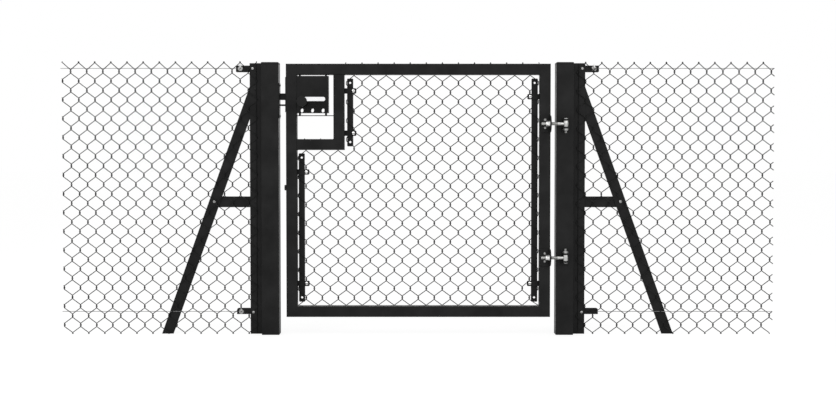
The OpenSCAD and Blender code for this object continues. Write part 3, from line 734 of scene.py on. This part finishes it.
def tensioners(side, word):
    """Spools that the tension wires are wound on, with a slot in a hollow of the end,
    and a catch pin on top. The lower right one is painted over, and it has no pin.
    A dark block in each slot is painted shade."""
    x = post_edge(side) + side * (77.8 if side > 0 else 79.6)
    plated, painted, painted_shade, pins = Build(), Build(), Build(), Build()
    for wire_z in (HIGH_WIRE_Z, LOW_WIRE_Z):
        z = wire_z - DRUM_DROP
        bare = side < 0 or wire_z == HIGH_WIRE_Z
        (plated if bare else painted).lathe(DRUM, facing((x, ANGLE_BACK_Y, z), FORWARD), 32)
        # a dark block in each slot paints the shade inside it
        slot_painted_shade(painted_shade, (x, 1.15, z), FORWARD, 7.6, 2.4, 0.4, -45.0)
        if bare:
            pins.lathe(CATCH_PIN, facing((x, -0.6, wire_z + 2.0), UPWARD), 16)
    made = plated.piece("tensioner_drums_" + word, DULL_ZINC, "root", "zinc_plated_steel", SHARP_ANGLE)
    if side < 0:
        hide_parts("tensioner_spools_left")
    else:
        painted.piece("tensioner_drum_painted", COAT, "root", "zinc_plated_steel", SHARP_ANGLE)
        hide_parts("tensioner_spools_right")
    painted_shade.piece("tensioner_slot_shade_" + word, RUBBER, "root", "dark_steel")
    pins.piece("tensioner_pins_" + word, BRIGHT_ZINC, "root", "zinc_plated_steel", SHARP_ANGLE)


# From the post's face, the near and far end of the plates that carry the drums
PLATE_NEAR, PLATE_FAR = 19, 96
# (foot, top, cut of the lower outer corner, cut of the upper one)
PLATES = ((966.9, 991.6, 4.0, 1.2), (72.5, 95.8, 1.2, 7.0))


def tensioner_plates(side, word):
    """The two flat plates that carry the drums, with one outer corner cut off each."""
    edge = post_edge(side)
    build = Build()
    for low, high, low_cut, high_cut in PLATES:
        outline = [(PLATE_NEAR, low), (PLATE_FAR - low_cut, low),
                   (PLATE_FAR - low_cut * 0.3, low + low_cut * 0.3), (PLATE_FAR, low + low_cut),
                   (PLATE_FAR, high - high_cut),
                   (PLATE_FAR - high_cut * 0.3, high - high_cut * 0.3),
                   (PLATE_FAR - high_cut, high), (PLATE_NEAR, high)]
        count = len(outline)
        verts = [(edge + side * px, y, pz) for y in (PLATE_BACK_Y, ANGLE_BACK_Y) for px, pz in outline]
        build.add(verts, bands(2, count) + ends(2, count))
    made = build.piece("tensioner_plates_" + word, COAT, "root", "black_coated_steel")
    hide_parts("tensioner_brackets_" + word)


def holed_end(build, x0, x1, z0, z1, hole_z, round_top):
    """One end of a flat bar with a round hole, and with round corners at its outer end."""
    count = 40
    hole_x = (x0 + x1) / 2
    end_z = z1 if round_top else z0
    outer, inner = [], []
    for k in range(count):
        a = 2 * math.pi * (k + 0.5) / count
        c, d = math.cos(a), math.sin(a)
        reach_x = (x1 - hole_x if c > 0 else hole_x - x0) / abs(c)
        reach_z = (z1 - hole_z if d > 0 else hole_z - z0) / abs(d)
        reach = min(reach_x, reach_z)
        px, pz = hole_x + reach * c, hole_z + reach * d
        if min(px - x0, x1 - px) < BAR_CORNER and abs(end_z - pz) < BAR_CORNER:
            centre_x = x0 + BAR_CORNER if px - x0 < x1 - px else x1 - BAR_CORNER
            centre_z = end_z - BAR_CORNER if round_top else end_z + BAR_CORNER
            away = Vector((px - centre_x, pz - centre_z)).normalized() * BAR_CORNER
            px, pz = centre_x + away.x, centre_z + away.y
        outer.append((px, pz))
        inner.append((hole_x + BAR_HOLE_R * c, hole_z + BAR_HOLE_R * d))
    front, back = BAR_FRONT_Y, BAR_BACK_Y
    verts = [(px, y, pz)
             for loop, y in ((inner, front), (outer, front), (outer, back), (inner, back))
             for px, pz in loop]
    build.add(verts, bands(4, count, True))


def tension_bars():
    """Flat bars with a hole near each end, threaded through the edge of the fabric."""
    for name, bar in (("lock_side_tension_bar", LOCK_SIDE_BAR),
                      ("hinge_side_tension_bar", HINGE_SIDE_BAR),
                      ("lock_box_tension_bar", LOCK_BOX_BAR)):
        x0, x1, z0, z1 = bar
        low, high = z0 + BAR_END_L, z1 - BAR_END_L
        section = ((x0, BAR_FRONT_Y), (x1, BAR_FRONT_Y), (x1, BAR_BACK_Y), (x0, BAR_BACK_Y))
        build = Build()
        holed_end(build, x0, x1, z0, low, z0 + BAR_HOLE_IN, False)
        holed_end(build, x0, x1, high, z1, z1 - BAR_HOLE_IN, True)
        build.add([(x, y, z) for z in (low, high) for x, y in section], bands(2, 4))
        made = build.piece(name + "_drilled", COAT, "leaf", "black_coated_steel")
        clean(made.data, 0.02 * MM)
        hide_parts(name)


# Half width and height of the post cap's rings, from the tube up to the crown
CAP_RINGS = ((31.6, 994.0), (31.6, 994.6), (32.0, 994.9), (32.0, 999.6), (31.5, 1000.8),
             (30.0, 1002.0), (26.0, 1002.3), (0.5, 1002.6))
CAP_CORNER = 3.2


def post_caps():
    """Moulded caps with a sloped rim, a shallow crown and a parting line above the tube."""
    arc = 4
    for x, name in ((LOCK_POST_X, "lock_post_cap"), (0.0, "hinge_post_cap")):
        verts = []
        for half, z in CAP_RINGS:
            inner = max(half - CAP_CORNER, half * 0.5)
            for quarter in range(4):
                cx = inner * (1 if quarter in (0, 3) else -1)
                cy = inner * (1 if quarter in (0, 1) else -1)
                for k in range(arc + 1):
                    a = math.radians(90 * quarter + 90 * k / arc)
                    verts.append((x + cx + (half - inner) * math.cos(a),
                                  cy + (half - inner) * math.sin(a), z))
        count = 4 * (arc + 1)
        build = Build()
        build.add(verts, bands(len(CAP_RINGS), count) + ends(len(CAP_RINGS), count), True)
        made = build.piece(name + "_moulded", CAP, "root", "black_plastic", 25)
        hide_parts(name)


def strike_screws():
    """Painted screws that hold the strike plate to the lock post."""
    build = Build()
    for z in (917.5, 805.0):
        slotted_head(build, (-1046.5, LEAF_MID_Y, z), TO_RIGHT, 5.0, 3.2, 1.3, 20.0)
    build.piece("strike_screws", COAT, "root", "black_coated_steel", SHARP_ANGLE)


def forend_screws():
    """Screws that hold the lock's forend to the stile."""
    build = Build()
    for z in (941.0, 826.0):
        slotted_head(build, (-1026.0, LEAF_MID_Y, z), TO_LEFT, 3.6, 0.9, 0.9, 60.0)
    build.piece("forend_screws", ZINC, "leaf", "zinc_plated_steel", SHARP_ANGLE)


def socket_bolt(build, at, toward, radius, height):
    """A domed head with a sunk socket."""
    profile = ((radius, 0), (radius, height * 0.3), (radius * 0.9, height * 0.7),
               (radius * 0.66, height), (radius * 0.5, height), (radius * 0.46, height * 0.3),
               (0.05, height * 0.25), (0.05, 0))
    build.ring(profile, facing(at, toward))


# Closed outline of the eye round the hinge pin, as (radius, height) pairs
EYE = ((5.05, 0), (7.6, 0), (8.7, 1.2), (8.9, 4.6), (9.5, 8.0), (9.5, 16.0), (8.9, 19.4),
       (8.7, 22.8), (7.6, 24.0), (5.05, 24.0))
EYE_H = 24.0
# The plain neck between the eye and the thread
EYE_NECK = ((5.6, 0), (6.0, 0.6), (6.0, 22.0), (5.8, 22.4))


def hinge(name, z, flip):
    """Eye bolt with its nut, pin with its nut, and the bolts of the bracket."""
    eye_y = HINGE_AXIS_Y
    bolt = Build()
    bolt.ring(EYE, facing((0, eye_y, z - EYE_H / 2), UPWARD), 32)
    bolt.lathe(EYE_NECK, facing((-6.5, eye_y, z), TO_LEFT))
    threaded_end(bolt, (-28.5, eye_y, z), TO_LEFT, 5.9, 60.0, 1.75)
    made = bolt.piece(name + "_eye", ZINC, "leaf", "zinc_plated_steel", SHARP_ANGLE)
    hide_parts(name + "_eye_bolt")
    nut = Build()
    hex_head(nut, (-60.0, eye_y, z), TO_LEFT, 19.0, 12.0)
    washer(nut, (-58.0, eye_y, z), TO_LEFT, 11.8, 2.0)
    nut.piece(name + "_nut", BRIGHT_ZINC, "leaf", "zinc_plated_steel", SHARP_ANGLE)

    way = -1 if flip else 1
    headward, nutward = (0, 0, way), (0, 0, -way)
    pin = Build()
    dome_head(pin, (0, eye_y, z + way * 17.3), headward, 8.0, 4.9)
    pin.lathe(((5.0, 0), (5.0, 35.0)), facing((0, eye_y, z + way * 17.5), nutward))
    hex_head(pin, (0, eye_y, z - way * 17.3), nutward, 17.4, 8.0)
    threaded_end(pin, (0, eye_y, z - way * 25.3), nutward, 4.6, 8.8, 1.5)
    made = pin.piece(name + "_pin", DULL_ZINC, "root", "zinc_plated_steel", SHARP_ANGLE)
    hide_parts(name + "_hinge_pin")

    bolts = Build()
    for step in (-14.5, 14.5):
        socket_bolt(bolts, (-73.5, -37.0, z + step), FORWARD, 5.2, 3.4)
    bolts.piece(name + "_bracket_bolts", DULL_ZINC, "leaf", "zinc_plated_steel", SHARP_ANGLE)


def bead(build, start, end, radius):
    """A run of weld, rippled along its length."""
    ripple_l = 1.1
    start, end = Vector(start), Vector(end)
    steps = max(4, int((end - start).length / ripple_l))
    points = [start.lerp(end, k / steps) for k in range(steps + 1)]
    radii = [radius * (0.86 + 0.16 * (k % 2) + random.uniform(-0.04, 0.04)) for k in range(steps + 1)]
    radii[0] = radii[-1] = radius * 0.5
    build.tube(points, radius, radii=radii)


def welds():
    """Beads in the inner corners of the leaf's frame and round the hinge clevises."""
    leaf = Build()
    x0, x1 = LEAF_INNER_X
    z0, z1 = LEAF_INNER_Z
    box_x0, box_x1 = LOCK_BOX_X
    rail_z0, rail_z1 = LOCK_BOX_RAIL_Z
    # (x, z) of each corner, and the way into it
    corners = ((x0, z0, 1, 1), (x1, z0, -1, 1), (x0, z1, 1, -1), (x1, z1, -1, -1),
               (box_x0, z1, -1, -1), (box_x1, z1, 1, -1),
               (x0, rail_z1, 1, 1), (x0, rail_z0, 1, -1), (box_x0, rail_z1, -1, 1))
    proud = 0.2
    for x, z, right, up in corners:
        x, z = x + right * proud, z + up * proud
        bead(leaf, (x, -30.0, z), (x, 6.0, z), 1.1)
    leaf.piece("leaf_welds", COAT, "leaf", "black_coated_steel")
    fixed = Build()
    base_y, ear_y = POST_FRONT_Y - 0.4, POST_FRONT_Y - 4.2
    for z in (LOWER_HINGE_Z, UPPER_HINGE_Z):
        for edge in (-28.2, 28.2):
            bead(fixed, (-13.0, base_y, z + edge), (13.0, base_y, z + edge), 1.7)
        for ear in (-14.8, 14.8):
            for side in (-11.2, 11.2):
                bead(fixed, (side, ear_y, z + ear - 1.6), (side, ear_y, z + ear + 1.6), 1.4)
    fixed.piece("post_welds", COAT, "root", "black_coated_steel")


def soften(names, width, segments):
    """Rounds the sharp edges of frame nodes by a width in millimetres."""
    for name in names:
        shown = frame["nodes"][name]
        round_off = shown.modifiers.new("edges", "BEVEL")
        round_off.width = width * MM
        round_off.segments = segments
        round_off.limit_method = "ANGLE"
        round_off.angle_limit = math.radians(40)
        round_off.harden_normals = True


clamp_bolts()
for side_made in ((-1, "left"), (1, "right")):
    fence_bolts(*side_made)
    tensioners(*side_made)
    tensioner_plates(*side_made)
tension_bars()
post_caps()
strike_screws()
forend_screws()
hinge("upper", UPPER_HINGE_Z, False)
hinge("lower", LOWER_HINGE_Z, True)
welds()
soften(("front_lever_grip", "rear_lever_grip"), 3.0, 4)
soften(("lever_hub", "lock_case", "stop_buffer", "latch_bolt"), 1.0, 3)
soften(("strike_plate", "strike_stop", "lock_forend", "lock_box_shelf",
        "upper_hinge_clevis", "lower_hinge_clevis", "upper_hinge_bracket", "lower_hinge_bracket",
        "bar_clamps", "fence_post_left", "fence_post_right", "strut_left", "strut_right",
        "tie_left", "tie_right"), 0.5, 2)


# ---------------------------------------------------------------- stage and camera

# The middle of the gate, in metres
GATE_X = -0.54
# The floor's extent, its colour, and how much of it the camera sees as white light
FLOOR_HALF = 60.0
FLOOR_COLOR = (0.86, 0.86, 0.86, 1)
FLOOR_GLOW, FLOOR_GLOW_SHARE = 1.07, 0.82
WHITE = (1, 1, 1, 1)
# The white room lights the gate less than the camera and reflections see it
ROOM_LIGHT, ROOM_SEEN = 0.75, 1.0


def plain_floor():
    """A pale floor that keeps the shadow and runs into the white background."""
    ground = bpy.data.meshes.new("floor")
    size = FLOOR_HALF
    corners = [(-size, -size, 0), (size, -size, 0), (size, size, 0), (-size, size, 0)]
    ground.from_pydata(corners, [], [(0, 1, 2, 3)])
    floor = bpy.data.objects.new("floor", ground)
    floor.location = (-0.541, 0, -0.5 * MM)
    bpy.context.scene.collection.objects.link(floor)
    look = bpy.data.materials.new("floor_white")
    look.use_nodes = True
    tree = look.node_tree
    bsdf = tree.nodes["Principled BSDF"]
    bsdf.inputs["Base Color"].default_value = FLOOR_COLOR
    bsdf.inputs["Roughness"].default_value = 0.9
    bsdf.inputs["Specular IOR Level"].default_value = 0.1
    glow = tree.nodes.new("ShaderNodeEmission")
    glow.inputs["Strength"].default_value = FLOOR_GLOW
    path = tree.nodes.new("ShaderNodeLightPath")
    seen = tree.nodes.new("ShaderNodeMath")
    seen.operation = "MULTIPLY"
    seen.inputs[1].default_value = FLOOR_GLOW_SHARE
    both = tree.nodes.new("ShaderNodeMixShader")
    link = tree.links.new
    link(path.outputs["Is Camera Ray"], seen.inputs[0])
    link(seen.outputs[0], both.inputs["Fac"])
    link(bsdf.outputs[0], both.inputs[1])
    link(glow.outputs[0], both.inputs[2])
    link(both.outputs[0], tree.nodes["Material Output"].inputs["Surface"])
    ground.materials.append(look)


def white_room():
    """A white world, brighter for the camera and for reflections than for its light."""
    world = bpy.data.worlds.new("studio")
    bpy.context.scene.world = world
    world.use_nodes = True
    nodes, link = world.node_tree.nodes, world.node_tree.links.new
    lit = nodes["Background"]
    lit.inputs["Color"].default_value = WHITE
    lit.inputs["Strength"].default_value = ROOM_LIGHT
    seen = nodes.new("ShaderNodeBackground")
    seen.inputs["Color"].default_value = WHITE
    seen.inputs["Strength"].default_value = ROOM_SEEN
    path = nodes.new("ShaderNodeLightPath")
    either = nodes.new("ShaderNodeMath")
    either.operation = "MAXIMUM"
    mix = nodes.new("ShaderNodeMixShader")
    link(path.outputs["Is Camera Ray"], either.inputs[0])
    link(path.outputs["Is Glossy Ray"], either.inputs[1])
    link(either.outputs[0], mix.inputs["Fac"])
    link(lit.outputs[0], mix.inputs[1])
    link(seen.outputs[0], mix.inputs[2])
    link(mix.outputs[0], nodes["World Output"].inputs["Surface"])


def soft_light(name, place, power):
    """A square lamp that looks at the middle of the gate."""
    lamp = bpy.data.lights.new(name, "AREA")
    lamp.shape = "SQUARE"
    lamp.size = 2.5
    lamp.energy = power
    made = bpy.data.objects.new(name, lamp)
    made.location = place
    toward = Vector((GATE_X, 0, 0.5)) - Vector(place)
    made.rotation_euler = toward.to_track_quat("-Z", "Y").to_euler()
    bpy.context.scene.collection.objects.link(made)


def camera():
    """The photo's view: straight from the front, a little above the gate's middle."""
    tilt_down = 1.889
    data = bpy.data.cameras.new("camera")
    made = bpy.data.objects.new("camera", data)
    data.sensor_width = 36.0
    data.lens = 55.98
    data.clip_end = 60.0
    made.location = (-0.539, -4.7995, 0.6543)
    made.rotation_euler = (math.radians(90 - tilt_down), 0, 0)
    bpy.context.scene.collection.objects.link(made)
    bpy.context.scene.camera = made


plain_floor()
white_room()
soft_light("key", (-2.2, -2.6, 3.2), 60)
soft_light("fill", (1.6, -3.0, 2.2), 35)
camera()
bpy.context.scene.view_settings.view_transform = "Standard"
